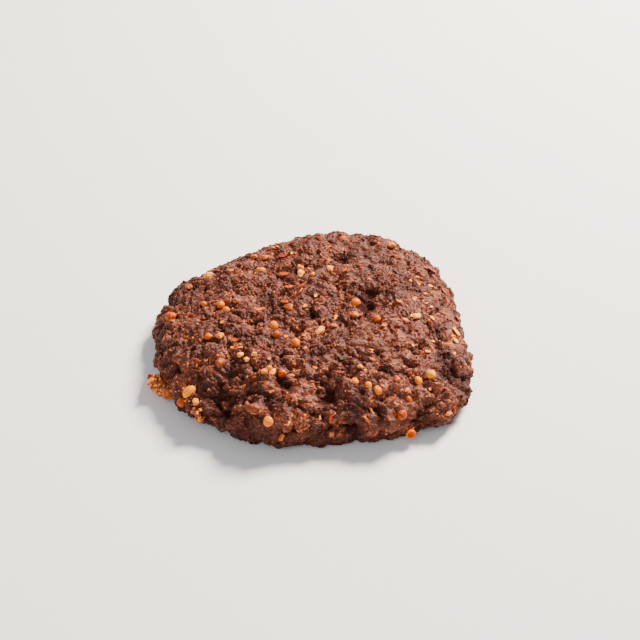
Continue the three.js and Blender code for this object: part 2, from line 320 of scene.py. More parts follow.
# Flat flecks of husk and onion skin, many of them bright flecks set where the crust shows glints, as painted
# highlights: bearing, way, width, length to width, lean, share that is sunk, tone.
FLECKS = [
    (348, 0.72, 2.5, 2.2, 90, 0.28, 1.0),
    (344, 0.72, 1.7, 2.0, 80, 0.35, 1.0),
    (352, 0.61, 1.3, 2.6, 100, 0.3, 1.0),
    (352, 0.51, 1.7, 1.4, 60, 0.35, 1.0),
    (118, 0.33, 2.4, 2.0, 10, 0.45, 0.25),
    (185, 0.25, 2.2, 2.0, 5, 0.4, 0.5),
    (219, 0.45, 2.2, 1.8, 10, 0.4, 0.45),
    (53, 0.29, 1.8, 1.8, -10, 0.45, 0.3),
    (341, 0.22, 2.0, 1.8, 0, 0.4, 0.6),
    (345, 0.25, 1.6, 1.3, 60, 0.4, 0.35),
    (103, 0.48, 1.2, 1.8, 95, 0.3, 0.9),
    (184, 0.12, 2.0, 1.9, 20, 0.45, 0.25),
    (128, 0.21, 1.6, 1.6, 15, 0.4, 0.5),
    (102, 0.15, 1.6, 1.4, 0, 0.4, 0.35),
    (236, 0.04, 1.8, 1.2, 60, 0.4, 0.75),
    (245, 0.26, 1.8, 1.1, 0, 0.45, 0.6),
    (182, 0.9, 1.6, 1.2, 80, 0.4, 0.5),
    (58, 0.66, 1.3, 1.2, 60, 0.4, 0.7),
    (8, 0.55, 1.7, 1.3, 30, 0.4, 0.65),
    (7, 0.55, 1.5, 1.4, 120, 0.4, 0.8),
    (345, 0.47, 1.6, 2.0, -40, 0.4, 0.65),
    (1, 0.46, 1.6, 2.0, -45, 0.4, 0.6),
    (323, 0.14, 1.2, 2.2, 80, 0.35, 0.9),
    (336, 0.37, 1.8, 1.3, 40, 0.4, 0.5),
    (63, 0.06, 1.5, 1.7, 85, 0.35, 0.95),
    (16, 0.74, 1.3, 2.4, 80, 0.35, 0.6),
    (306, 0.48, 1.6, 2.2, -50, 0.4, 0.4),
    (328, 0.59, 1.8, 1.4, 20, 0.4, 0.55),
    (336, 0.6, 1.7, 1.3, 45, 0.4, 0.75),
    (218, 0.79, 1.6, 2.6, -10, 0.35, 0.15),
    (1, 0.63, 1.4, 1.5, 60, 0.35, 0.85),
    (327, 0.14, 1.3, 1.4, 20, 0.35, 0.85),
    (311, 0.41, 1.5, 1.4, -20, 0.35, 0.8),
    (4, 0.61, 1.2, 1.8, 30, 0.35, 0.8),
    (21, 0.68, 1.6, 1.9, -35, 0.35, 0.8),
    (73, 0.34, 1.2, 1.5, 90, 0.35, 0.7),
    (308, 0.69, 1.4, 1.5, 45, 0.35, 0.75),
    (261, 0.51, 1.4, 1.3, 0, 0.35, 0.8),
    (336, 0.71, 1.3, 1.5, 70, 0.35, 0.75),
    (274, 0.46, 1.6, 1.3, -30, 0.35, 0.7),
    (29, 0.64, 1.3, 1.5, 40, 0.35, 0.65),
    (328, 0.52, 1.2, 1.4, 90, 0.35, 0.75),
    (264, 0.23, 1.3, 1.4, 10, 0.35, 0.7),
    (26, 0.58, 1.3, 1.6, 70, 0.35, 0.7),
    (13, 0.62, 1.2, 1.4, 0, 0.35, 0.65),
    (247, 0.47, 1.3, 1.4, -50, 0.35, 0.75),
    (254, 0.64, 1.3, 1.6, 20, 0.35, 0.65),
    (124, 0.2, 1.6, 1.4, -10, 0.35, 0.55),
    (201, 0.46, 1.3, 1.5, 60, 0.35, 0.7),
    (223, 0.49, 1.3, 1.4, 30, 0.35, 0.7),
    (298, 0.55, 1.2, 1.5, -60, 0.35, 0.65),
    (316, 0.71, 1.3, 1.5, 50, 0.35, 0.6),
    (267, 0.33, 1.3, 1.6, 80, 0.35, 0.6),
    (19, 0.71, 1.2, 1.5, 30, 0.35, 0.65),
    (22, 0.61, 1.2, 2.8, 88, 0.35, 0.7),
]
# Slivers of onion: bearing, way, length, width, lean, tone.
SLIVERS = [
    (250, 0.762, 4.2, 0.8, -16, 0.5),
    (274, 0.78, 4.6, 1.3, 60, 0.5),
    (290, 0.8, 5.4, 1.3, 140, 0.45),
    (293, 0.76, 3.6, 1.1, 130, 0.5),
    (331, 0.61, 5.4, 0.9, 115, 0.5),
    (80, 0.78, 4.6, 1.2, 20, 0.4),
    (120, 0.84, 5.0, 1.2, 70, 0.5),
]
# Bits of coriander leaf: bearing, way, width, length to width, lean, share that is sunk, tone.
LEAF_BITS = [
    (292, 0.43, 1.7, 1.5, 40, 0.35, 0.6),
    (290, 0.41, 1.2, 1.6, 100, 0.35, 0.8),
    (294, 0.45, 1.1, 1.5, 150, 0.4, 0.4),
    (75, 0.8, 1.8, 1.5, 30, 0.4, 0.5),
    (130, 0.7, 1.5, 1.6, 80, 0.4, 0.6),
]

# A whole seed one across: its ribs, how high they are, and its blunt tip, in widths.
SEED_RIBS = 10
RIB_HEIGHT = 0.07
SEED_TIP = {"from": 0.42, "over": 0.08, "height": 0.05}
# A split husk one across: where it opens above its middle, its wall, its unevenness, its turn to the camera.
HUSK = {"opening": 0.12, "wall": 0.1, "rough": 0.06, "turn": 0.5}
# A flake one across: how thick it is, how much it curls up, and the share of the curl that runs across it.
FLAKE = {"thick": 0.22, "curl": 0.5, "across": 0.6}
# A crumb is a little broader and lower than its row says. Loose bits take it for this share as wide.
CRUMB_FORM = (1.08, 1.08, 0.9)
CRUMB_SHYNESS = 0.6
# Swells of each kind of bit, one across: size, height, seed. Each copy's lie this much further on.
SEED_SWELLS = [(0.5, 0.1, 3)]
CRUMB_SWELLS = [(0.4, 0.3, 3), (0.16, 0.16, 4)]
FLAKE_SWELLS = [(0.3, 0.3, 6)]
COPY_STEP = 20.0
# How bits are broken: how many flat faces each gets, and how far they are from its middle, in widths.
CRUMB_BREAKS = (6, (0.34, 0.48))
GRANULE_BREAKS = (6, (0.2, 0.42))
FLAKE_BREAKS = (7, (0.25, 0.42))
LOOSE_BREAKS = (5, (0.22, 0.45))
# The middle of a marked bit, and of a husk, is at least this many of its widths up.
LEAST_RISE = 0.6
HUSK_RISE = 0.55

# Loose bits keep above this height, and so many widths from the middles of what is set one by one.
LOWEST_LOOSE = 0.8
SHY_SHARE = 0.36
# Hollows are nearly bare of them: from this hollow on, over this range, by this share.
BARE_HOLLOWS = {"from": 0.5, "over": 0.4, "share": 0.85}
# How a loose bit tilts, how many widths its middle rises, and how much of the crust's tone it takes on.
LOOSE_TILT = 0.3
LOOSE_RISES = (-0.3, 0.1)
GROUND_TONE = 0.9
# Most bits are small and dark: the powers by which the draws of widths and tones lean that way.
WIDTH_POWER = 2
TONE_POWER = 1.4
STRAND_TONE_POWER = 1.3
# Mince strands. A bend is a share of half the length, and they are this much wider than thick.
MINCE = {"strands": 5500, "lengths": (1.4, 4.2), "bends": (-0.6, 0.6), "thick": (0.3, 0.7), "wide": 1.3,
         "tones": (0.3, 0.8)}
# A sliver's bend, and its width and thickness as shares of what its row gives as width.
SLIVER = {"bend": 0.3, "wide": 1.2, "thick": 0.8}
# A strand's spine has so many points. It rises and dips by these thicknesses, and tapers by this share.
SPINE_POINTS = 5
SPINE_RISE = 0.15
SPINE_DIP = 0.7
SPINE_TAPER = 0.65
# A bent spine's middle lies this share of the bend to the one side, and its ends lie to the other.
BEND_LEVEL = 0.4
# All draws that numpy makes start from this.
DRAWS_FROM = 7

# The photograph's frame, and where the patty's origin falls in it.
IMAGE_PX = 640
FOCAL_PX = 1516.6
ORIGIN_PX = (310.7, 346.3)
ORIGIN_DEPTH = 0.591
PITCH = math.radians(39.4)
SENSOR_MM = 36
RIGHT = np.array([1, 0, 0])
UP = np.array([0, math.sin(PITCH), math.cos(PITCH)])
AHEAD = np.array([0, math.cos(PITCH), -math.sin(PITCH)])
# Studio lights: name, place and size in metres, watts, colour.
SOFTBOXES = [
    ("key, behind on the right", (0.54, 0.6, 0.77), 0.4, 58, "#FFF1E2"),
    ("fill, in front", (-0.3, -0.8, 0.7), 0.9, 4.5, "#EEF3FF"),
]
ROOM_COLOUR = "#FFFFFF"
ROOM_LIGHT = 0.46
# The floor reaches this far each way.
FLOOR_REACH = 3000


# The patty's shape

def chance(a, b=0, c=0):
    """A draw from 0 to 1 that whole numbers fix."""
    a, b, c = (np.asarray(v).astype(np.int64).astype(np.uint32) for v in (a, b, c))
    with np.errstate(over="ignore"):
        h = a * np.uint32(374761393) ^ b * np.uint32(668265263) ^ c * np.uint32(1274126177)
        h = (h ^ (h >> np.uint32(15))) * np.uint32(2246822519)
        h = (h ^ (h >> np.uint32(13))) * np.uint32(3266489917)
    return (h ^ (h >> np.uint32(16))) / 2**32


def smoothstep(t):
    t = np.clip(t, 0, 1)
    return t * t * (3 - 2 * t)


def swell(p, size, seed):
    """Smooth noise from -1 to 1 whose swells are about size across."""
    q = p / size
    cell = np.floor(q).astype(np.int64)
    f = smoothstep(q - cell)
    total = 0
    for i, j, k in np.ndindex(2, 2, 2):
        share = np.prod(np.where((i, j, k), f, 1 - f), axis=1)
        layer = (cell[:, 2] + k) * SWELL_LAYER + seed
        total = total + share * chance(cell[:, 0] + i, cell[:, 1] + j, layer)
    return 2 * total - 1


def clumps(p, size, seed):
    """Squared distances, in sizes, to the nearest two clumps' middles, and a draw that the nearest has."""
    q = p / size
    cell = np.floor(q).astype(np.int64)
    first = np.full(len(p), np.inf)
    second = np.full(len(p), np.inf)
    draw = np.zeros(len(p))
    for i, j, k in np.ndindex(3, 3, 3):
        x, y, z = cell[:, 0] + i - 1, cell[:, 1] + j - 1, cell[:, 2] + k - 1
        layer = z * CLUMP_LAYER + seed
        middle = np.stack([c + chance(x, y, layer + n) for n, c in enumerate((x, y, z))], 1)
        away = ((q - middle) ** 2).sum(1)
        draw = np.where(away < first, chance(x, y, layer + 3), draw)
        second = np.minimum(second, np.maximum(first, away))
        first = np.minimum(first, away)
    return first, second, draw


def spline(before, start, end, after, f):
    """A smooth value from start to end, at share f of the way."""
    bend = 2 * before - 5 * start + 4 * end - after + f * (3 * (start - end) + after - before)
    return start + 0.5 * f * (end - before + f * bend)


def rim_radius(bearing):
    radii = np.array(RIM_RADII, float)
    steps = len(radii)
    at = (bearing / (2 * math.pi)) % 1 * steps
    i = np.floor(at).astype(int)
    return spline(*(radii[(i + n) % steps] for n in (-1, 0, 1, 2)), at - i)


def section():
    """The section's points and the way along it to each, from 0 at the middle to 1 at the underside."""
    knots = np.array(PROFILE) * (SECTION_RADIUS, HEIGHT)
    knots = np.vstack([2 * knots[0] - knots[1], knots, 2 * knots[-1] - knots[-2]])
    at = np.linspace(0, len(PROFILE) - 1, SECTION_POINTS)
    i = np.minimum(at.astype(int), len(PROFILE) - 2)
    points = spline(*(knots[i + n] for n in range(4)), (at - i)[:, None])
    length = np.cumsum(np.linalg.norm(np.diff(points, axis=0, prepend=points[:1]), axis=1))
    return length / length[-1], points


WAYS, SECTION = section()


def smooth_point(bearing, way):
    """The patty's point before its relief. The way is 1 at the foot, and 2 below the middle."""
    out = np.interp(way, WAYS, SECTION[:, 0]) / SECTION_RADIUS
    height = np.interp(way, WAYS, SECTION[:, 1])
    inward = np.clip(way - 1, 0, 1)
    radius = out * (1 - inward) * rim_radius(bearing)
    drop = (UNDERSIDE_DEPTH + height) * np.sin(inward * math.pi / 2)
    x = radius * np.cos(bearing) + SHIFT[0]
    y = radius * np.sin(bearing) + SHIFT[1]
    return np.stack([x, y, height - drop], 1)


def smooth_normal(bearing, way):
    step = 1e-3
    safe = np.clip(way, 2 * step, 2 - 2 * step)
    down = smooth_point(bearing, safe + step) - smooth_point(bearing, safe - step)
    around = smooth_point(bearing + step, safe) - smooth_point(bearing - step, safe)
    return unit(np.cross(down, around))


def unit(vectors):
    return vectors / np.maximum(np.linalg.norm(vectors, axis=-1, keepdims=True), 1e-9)


def clump_relief(p):
    drawn = warped(p, CLUMP_WARP_SIZE, CLUMP_WARP)
    height = 0
    for size, h, seed in CLUMPS:
        nearest, *_ = clumps(drawn, size, seed)
        height = height + h * (1 - CLUMP_FALL * nearest - CLUMP_LEVEL)
    backward = smoothstep((p[:, 1] - PRESSED["front"]) / (PRESSED["back"] - PRESSED["front"]))
    return height * (1 - (1 - PRESSED["share"]) * backward)


def bell(p, bearing, way, radius):
    """1 at a place on the patty, and less away from it."""
    middle = smooth_point(np.radians([bearing]), np.array([way]))
    return np.exp(-((p - middle) ** 2).sum(1) / radius**2)


def form_relief(p):
    return sum(h * bell(p, bearing, way, radius) for bearing, way, radius, h in FORMS)


def warped(p, size, reach):
    """Points moved about by swells, so that what is laid out by them is less regular."""
    return p + reach * np.stack([swell(p, size, WARP_SEED + n) for n in range(3)], 1)


def crust(bearing, way):
    """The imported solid's surface, but for how flat its clumps are pressed, and its outward directions."""
    p = smooth_point(bearing, way)
    out = smooth_normal(bearing, way)
    height = sum(h * swell(p, size, seed) for size, h, seed in SWELLS) + form_relief(p)
    height += clump_relief(p)
    fade = smoothstep(1 - np.clip(way - 1, 0, 1) / UNDERSIDE_FADE)
    return p + out * (height * fade)[:, None], out


def strand_height(winding):
    """How high the mince is, where the winding is 0 along a strand's ridge and 1 or -1 far from it."""
    return STRAND_RIDGE["level"] - np.abs(winding) ** STRAND_RIDGE["power"] * STRAND_RIDGE["fall"]


def fine_relief(p):
    """The strands and grains of the mince, with cracks and pores, and a tone for each place, about 0."""
    tone = sum(share * swell(p, size, seed) for size, share, seed in MOTTLE)
    wound = warped(p, STRAND_WARP_SIZE, STRAND_WARP)
    height = sum(h * strand_height(swell(wound, size, seed)) for size, h, seed in STRANDS)
    torn = smoothstep(0.5 + swell(p, TEARS["size"], TEARS["seed"]))
    for place, cracks in ((warped(p, CLUMP_WARP_SIZE, CLUMP_WARP), CLUMP_CRACKS), (wound, GRAIN_CRACKS)):
        for size, seed, depth in cracks:
            first, second, draw = clumps(place, size, seed)
            gap = np.sqrt(second) - np.sqrt(first)
            height -= depth * torn * (1 - smoothstep(gap / CRACK_SHARE))
            tone += GRAIN_TONE * (draw - 0.5)
    first, _, draw = clumps(p, PORES["spacing"], PORES["seed"])
    pore = np.exp(-first * (PORES["spacing"] / PORES["radius"]) ** 2)
    height -= PORES["depth"] * pore * (draw < PORES["share"])
    return height, tone


# Meshes

def triangles_of(bm):
    """A bmesh's points and triangles as arrays. The bmesh is then done with."""
    bmesh.ops.triangulate(bm, faces=bm.faces[:])
    bm.verts.index_update()
    points = np.array([v.co[:] for v in bm.verts])
    faces = np.array([[v.index for v in f.verts] for f in bm.faces])
    bm.free()
    return points, faces


def mesh_object(name, points, faces, material, slot, smooth=True, **attributes):
    """A piece of triangles, from millimetres. With a slot, it rides on the kebab. Attributes go by point."""
    mesh = bpy.data.meshes.new(name)
    mesh.vertices.add(len(points))
    mesh.vertices.foreach_set("co", (points * MM).ravel())
    mesh.loops.add(faces.size)
    mesh.loops.foreach_set("vertex_index", faces.ravel())
    mesh.polygons.add(len(faces))
    mesh.polygons.foreach_set("loop_start", np.arange(0, faces.size, 3))
    mesh.update(calc_edges=True)
    if smooth:
        mesh.shade_smooth()
    for key, values in attributes.items():
        layer = mesh.attributes.new(key, "FLOAT", "POINT")
        layer.data.foreach_set("value", np.asarray(values, np.float32))
    mesh.materials.append(material)
    piece = bpy.data.objects.new(name, mesh)
    bpy.context.scene.collection.objects.link(piece)
    if slot:
        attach(piece, "root")
    return piece


# Materials

def linear(hex_colour):
    """An sRGB hex colour as linear RGBA."""
    parts = [int(hex_colour[i:i + 2], 16) / 255 for i in (1, 3, 5)]
    return [*(c / 12.92 if c <= 0.04045 else ((c + 0.055) / 1.055) ** 2.4 for c in parts), 1]


def add(tree, kind, inputs=None, stops=None, **settings):
    """Adds a node with its settings. An input is a value, a hex colour or the socket that feeds it."""
    made = tree.nodes.new(kind)
    for key, value in settings.items():
        setattr(made, key, value)
    for key, value in (inputs or {}).items():
        if isinstance(value, bpy.types.NodeSocket):
            tree.links.new(value, made.inputs[key])
        else:
            made.inputs[key].default_value = linear(value) if isinstance(value, str) else value
    if stops:
        ramp = made.color_ramp
        for n, (at, colour) in enumerate(stops):
            stop = ramp.elements[n] if n < 2 else ramp.elements.new(at)
            stop.position = at
            stop.color = linear(colour)
    return made


def new_material(name):
    """A material with only its output, and the place and the draws that its patterns read."""
    material = bpy.data.materials.new(name)
    material.use_nodes = True
    tree = material.node_tree
    tree.nodes.clear()
    output = add(tree, "ShaderNodeOutputMaterial")
    place = add(tree, "ShaderNodeTexCoord").outputs["Object"]
    tone = add(tree, "ShaderNodeAttribute", attribute_name="tone").outputs["Fac"]
    hollow = add(tree, "ShaderNodeAttribute", attribute_name="hollow").outputs["Fac"]
    return material, tree, output.inputs["Surface"], place, tone, hollow


def per_mm(size_mm):
    """A texture scale whose pattern repeats about every size_mm."""
    return 1 / (size_mm * MM)


# The colour of painted shade, for hollows, creases and gaps. Crust hues, from char to reddish brown to tan,
# as dark as the fried surface is.
SHADE_COLOUR = "#2E0801"
CRUST_STOPS = [
    (0.0, "#3C1308"),
    (0.3, "#522517"),
    (0.55, "#6E3829"),
    (0.78, "#934F38"),
    (0.93, "#CA6A3A"),
    (1.0, "#FC9A48"),
]


def fried_crust():
    """Fried mince: browned protein, with painted shade in its cracks, and wet with oil on top, so its shine
    is broken.
    """
    material, tree, surface, place, tone, hollow = new_material("fried mince crust")
    # Hue: shreds and grains mottle the tone that the mesh has.
    shreds = add(tree, "ShaderNodeTexNoise", {
        "Vector": place, "Scale": per_mm(1.3), "Detail": 6.0, "Roughness": 0.65, "Distortion": 0.6})
    grains = add(tree, "ShaderNodeTexVoronoi", {"Vector": place, "Scale": per_mm(0.8)})
    draw = add(tree, "ShaderNodeSeparateColor", {"Color": grains.outputs["Color"]})
    mottled = add(tree, "ShaderNodeMath", {0: shreds.outputs[0], 1: 1.2, 2: tone}, operation="MULTIPLY_ADD")
    toned = add(tree, "ShaderNodeMath", {0: draw.outputs[0], 1: 0.35, 2: mottled.outputs[0]},
                operation="MULTIPLY_ADD")
    spread = add(tree, "ShaderNodeMapRange", {"Value": toned.outputs[0], "From Min": 0.2, "From Max": 1.45})
    hue = add(tree, "ShaderNodeValToRGB", {"Fac": spread.outputs[0]}, stops=CRUST_STOPS)
    # Painted shade in the hollows, and along the gaps between grains, whose edges are bent out of line.
    bent = add(tree, "ShaderNodeTexNoise", {"Vector": place, "Scale": per_mm(2.0), "Detail": 2.0})
    moved = add(tree, "ShaderNodeVectorMath", {0: bent.outputs["Color"], 1: (1.4 * MM,) * 3, 2: place},
                operation="MULTIPLY_ADD")
    edges = add(tree, "ShaderNodeTexVoronoi", {"Vector": moved.outputs[0], "Scale": per_mm(1.4)},
                feature="DISTANCE_TO_EDGE")
    gaps = add(tree, "ShaderNodeMapRange", {
        "Value": edges.outputs["Distance"], "From Max": 0.16, "To Min": 0.55, "To Max": 0.0})
    dark = add(tree, "ShaderNodeMath", {0: gaps.outputs[0], 1: hollow}, operation="MAXIMUM")
    blotches = add(tree, "ShaderNodeTexNoise", {"Vector": place, "Scale": per_mm(1.7), "Detail": 3.0})
    richness = add(tree, "ShaderNodeMapRange", {
        "Value": blotches.outputs[0], "From Min": 0.38, "From Max": 0.62, "To Min": 0.78, "To Max": 1.1})
    browned = add(tree, "ShaderNodeHueSaturation", {
        "Saturation": richness.outputs[0], "Color": hue.outputs[0]})
    colour = add(tree, "ShaderNodeMix", {0: dark.outputs[0], 6: browned.outputs[0], 7: SHADE_COLOUR},
                 data_type="RGBA")
    # Oil: its gloss varies with the shreds, and the hollows are duller.
    shine = add(tree, "ShaderNodeMapRange", {
        "Value": shreds.outputs[0], "From Min": 0.35, "From Max": 0.65, "To Min": 0.34, "To Max": 0.62})
    gloss = add(tree, "ShaderNodeMath", {0: hollow, 1: 0.35, 2: shine.outputs[0]}, operation="MULTIPLY_ADD")
    bumps = add(tree, "ShaderNodeMath", {0: grains.outputs["Distance"], 1: -0.6, 2: shreds.outputs[0]},
                operation="MULTIPLY_ADD")
    bump = add(tree, "ShaderNodeBump", {"Height": bumps.outputs[0], "Strength": 0.65, "Distance": 0.5 * MM})
    skin = add(tree, "ShaderNodeBsdfPrincipled", {
        "Base Color": colour.outputs[2], "Roughness": gloss.outputs[0], "Normal": bump.outputs[0],
        "IOR": 1.45, "Specular IOR Level": 0.17, "Coat Weight": 0.03, "Coat Roughness": 0.28})
    tree.links.new(skin.outputs[0], surface)
    return material


def toned_food(name, stops, mottle_mm, mottle_share, rough, bump_mm, shine):
    """A small bit of fried food: its tone picks from its range of hues, and a mottle spreads it."""
    material, tree, surface, place, tone, hollow = new_material(name)
    mottle = add(tree, "ShaderNodeTexNoise", {"Vector": place, "Scale": per_mm(mottle_mm), "Detail": 4.0})
    centred = add(tree, "ShaderNodeMath", {0: mottle.outputs[0], 1: 0.5}, operation="SUBTRACT")
    toned = add(tree, "ShaderNodeMath", {0: centred.outputs[0], 1: mottle_share, 2: tone},
                operation="MULTIPLY_ADD")
    hue = add(tree, "ShaderNodeValToRGB", {"Fac": toned.outputs[0]}, stops=stops)
    # Painted shade: the hue is mixed towards the shade colour by the hollow attribute.
    colour = add(tree, "ShaderNodeMix", {0: hollow, 6: hue.outputs[0], 7: SHADE_COLOUR}, data_type="RGBA")
    gloss = add(tree, "ShaderNodeMapRange", {
        "Value": mottle.outputs[0], "From Min": 0.35, "From Max": 0.65,
        "To Min": rough[0], "To Max": rough[1]})
    bump = add(tree, "ShaderNodeBump", {
        "Height": mottle.outputs[0], "Strength": 0.7, "Distance": bump_mm * MM})
    skin = add(tree, "ShaderNodeBsdfPrincipled", {
        "Base Color": colour.outputs[2], "Roughness": gloss.outputs[0], "Normal": bump.outputs[0],
        "IOR": 1.45, "Specular IOR Level": shine})
    tree.links.new(skin.outputs[0], surface)
    return material


def fried_mince():
    """Loose grains and strands of fried mince, in the crust's own hues, with an oily shine."""
    return toned_food("loose fried mince", CRUST_STOPS, 0.8, 0.8, (0.34, 0.6), 0.25, 0.22)


def coriander_husk():
    """Fried coriander: a thin ribbed husk, amber where it is whole and brown where it caught."""
    stops = [(0.0, "#5E1A04"), (0.35, "#AC4208"), (0.7, "#E66E08"), (1.0, "#FFA20E")]
    return toned_food("fried coriander husk", stops, 1.8, 0.8, (0.28, 0.42), 0.2, 0.2)


def fried_onion():
    """Fried onion and fat: soft tan flesh, browned unevenly, under a film of oil."""
    stops = [(0.0, "#6E3018"), (0.35, "#B05824"), (0.7, "#E67C28"), (1.0, "#FFA23C")]
    return toned_food("fried onion and fat", stops, 1.0, 1.0, (0.4, 0.6), 0.3, 0.3)


def chilli_skin():
    """Crushed red chilli and tomato skin: thin, tough and glossy, red to orange."""
    stops = [(0.0, "#4C0C04"), (0.5, "#902406"), (1.0, "#D44C0A")]
    return toned_food("crushed red chilli", stops, 1.2, 0.6, (0.36, 0.5), 0.15, 0.2)


def fried_leaf():
    """Coriander leaf that the frying turned a dull dark green."""
    stops = [(0.0, "#181208"), (0.5, "#342C12"), (1.0, "#5A5022")]
    return toned_food("fried coriander leaf", stops, 0.9, 0.8, (0.4, 0.5), 0.15, 0.18)


def white_paper():
    """Matt white paper, so that it takes only a soft shadow."""
    material, tree, surface, *_ = new_material("matt white paper")
    skin = add(tree, "ShaderNodeBsdfPrincipled", {"Base Color": "#F4F3F1", "Roughness": 0.9})
    tree.links.new(skin.outputs[0], surface)
    return material


# The patty

def grooves(points):
    """How near each point is to the crease where the crust meets a seed or a crumb, from 0 to 1."""
    middles, _, sizes, _ = marked(SEEDS + CRUMBS)
    groove = np.zeros(len(points))
    for middle, width in zip(middles, sizes[:, 1]):
        away = np.linalg.norm(points - middle, axis=1) - GROOVE_REACH * width
        groove = np.maximum(groove, np.exp(-(away / GROOVE_WIDTH) ** 2))
    return groove


def patty():
    """The crust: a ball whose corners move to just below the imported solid's surface, with grain added."""
    bm = bmesh.new()
    bmesh.ops.create_icosphere(bm, subdivisions=6, radius=1)
    bmesh.ops.subdivide_edges(bm, edges=bm.edges[:], cuts=2, use_grid_fill=True)
    ball, faces = triangles_of(bm)
    ball = unit(ball)
    polar = np.arccos(np.clip(ball[:, 2], -1, 1)) / math.pi
    way = np.where(polar < SIDE_SHARE, polar / SIDE_SHARE, 1 + (polar - SIDE_SHARE) / (1 - SIDE_SHARE))
    bearing = np.arctan2(ball[:, 1], ball[:, 0])
    smooth = smooth_point(bearing, way)
    points, out = crust(bearing, way)
    fine, tone = fine_relief(smooth)
    groove = grooves(points)
    pits = sum(depth * bell(smooth, bearing, way, radius) for bearing, way, radius, depth in PITS)
    points += out * (fine - pits - LOOSE_DEPTH - GROOVE_DEPTH * groove)[:, None]
    points[:, 2] = np.maximum(points[:, 2], np.clip(-fine - FOOT_LIFT["from"], 0, FOOT_LIFT["most"]))
    # Painted shade, from how deep the valleys, fine relief, creases round the bits and pits lie.
    valleys = clump_relief(smooth) + np.minimum(form_relief(smooth), 0)
    sunken = (-HOLLOW["from"] - HOLLOW["valleys"] * valleys - HOLLOW["fine"] * fine) / HOLLOW["over"]
    hollow = smoothstep(sunken + HOLLOW["groove"] * groove + PIT_SHADE_MIX * pits)
    tone = np.minimum(tone, MOST_TONE + PAST_MOST_TONE * (tone - MOST_TONE))
    # Patches, partly browning and partly painted light and shade. Then painted shade low on the side and in
    # the pits.
    tone += sum(lighter * bell(smooth, bearing, way, radius) for bearing, way, radius, lighter in PATCHES)
    tone -= FOOT_SHADE * (1 - smoothstep(points[:, 2] / FOOT_HEIGHT)) + PIT_SHADE * pits
    return mesh_object("patty", points, faces, fried_crust(), "crust", tone=tone, hollow=hollow)


def ground_of(piece):
    """What lies on the crust is set out from this: its points, normals, areas, draws, and a search tree."""
    mesh = piece.data
    points = np.empty(len(mesh.vertices) * 3)
    normals = np.empty(len(mesh.vertices) * 3)
    faces = np.empty(len(mesh.loops), int)
    mesh.vertices.foreach_get("co", points)
    mesh.vertex_normals.foreach_get("vector", normals)
    mesh.loops.foreach_get("vertex_index", faces)
    points = points.reshape(-1, 3) / MM
    faces = faces.reshape(-1, 3)
    a, b, c = (points[faces[:, n]] for n in range(3))
    area = np.zeros(len(points))
    np.add.at(area, faces, np.linalg.norm(np.cross(b - a, c - a), axis=1)[:, None] / 6)
    ground = {"points": points, "normals": normals.reshape(-1, 3), "area": area}
    ground["tree"] = BVHTree.FromPolygons(points.tolist(), faces.tolist())
    for key in ("tone", "hollow"):
        values = np.empty(len(points), np.float32)
        mesh.attributes[key].data.foreach_get("value", values)
        ground[key] = values
    return ground


def laid(ground, points):
    """The crust's nearest places to these points, and its outward directions there."""
    found = [ground["tree"].find_nearest(p)[:2] for p in points.reshape(-1, 3).tolist()]
    places = np.array([f[0][:] for f in found]).reshape(points.shape)
    normals = np.array([f[1][:] for f in found]).reshape(points.shape)
    return places, normals


# What lies in the crust

def axes_on(out, along):
    """For each outward direction, three axes: one along the surface, one across it, and out."""
    side = unit(along - (along * out).sum(1, keepdims=True) * out)
    return np.stack([side, np.cross(out, side), out], 1)


def leaning(lean):
    """Directions that lean by these degrees from the right to the top, as the camera sees it."""
    lean = np.radians(lean)[:, None]
    return RIGHT * np.cos(lean) + UP * np.sin(lean)


def copied(faces, count, corners):
    """The triangles of count copies of a shape that has so many corners."""
    return (faces[None] + (np.arange(count) * corners)[:, None, None]).reshape(-1, 3)


def placed(local, faces, middles, axes):
    """Joins copies of a shape, each set on its own axes and middle. None reaches the floor."""
    points = np.einsum("nki,nij->nkj", local, axes) + middles[:, None, :]
    points[:, :, 2] = np.maximum(points[:, :, 2], FLOOR_GAP)
    return points.reshape(-1, 3), copied(faces, *local.shape[:2])


def settled(points, out, ground):
    """Bits moved in or out, each as a whole, until their lowest corners are just in the ground."""
    points = points.reshape(len(out), -1, 3)
    for bit, outward in zip(points, out):
        starts = bit + LOOK_BACK * outward
        found = [ground["tree"].ray_cast(start, -outward)[3] for start in starts.tolist()]
        clear = min((way_in - LOOK_BACK for way_in in found if way_in is not None), default=0)
        bit -= (clear + BED_DEPTH) * outward
    points[:, :, 2] = np.maximum(points[:, :, 2], FLOOR_GAP)
    return points


def broken(base, count, cuts, reach, rng):
    """Copies of a ball, each cut by flat faces of its own, as a broken crumb is."""
    points = np.repeat(base[None], count, 0)
    for _ in range(cuts):
        face = unit(rng.normal(size=(count, 3)))
        over = np.einsum("nki,ni->nk", points, face) - rng.uniform(*reach, (count, 1))
        points -= np.maximum(over, 0)[:, :, None] * face[:, None, :]
    return points


def swollen(copies, swells):
    """Copies of a shape one across, each swollen in a way of its own."""
    for n, points in enumerate(copies):
        rough = sum(h * swell(points + COPY_STEP * n, size, seed) for size, h, seed in swells)
        points *= 1 + rough[:, None]
    return copies


def ball_shape(subdivisions):
    bm = bmesh.new()
    bmesh.ops.create_icosphere(bm, subdivisions=subdivisions, radius=0.5)
    return triangles_of(bm)


def lump_shape():
    """A ball of a few dozen faces, for what is repeated thousands of times."""
    bm = bmesh.new()
    bmesh.ops.create_uvsphere(bm, u_segments=8, v_segments=4, radius=0.5)
    return triangles_of(bm)


def strand_shape():
    """A rod one long and one across, with three sides, and a ring of corners at each point of a spine."""
    bm = bmesh.new()
    bmesh.ops.create_cone(bm, cap_ends=True, segments=3, radius1=0.5, radius2=0.5, depth=1)
    long_edges = [e for e in bm.edges if abs(e.verts[0].co.z - e.verts[1].co.z) > 0.5]
    bmesh.ops.subdivide_edges(bm, edges=long_edges, cuts=SPINE_POINTS - 2)
    return triangles_of(bm)


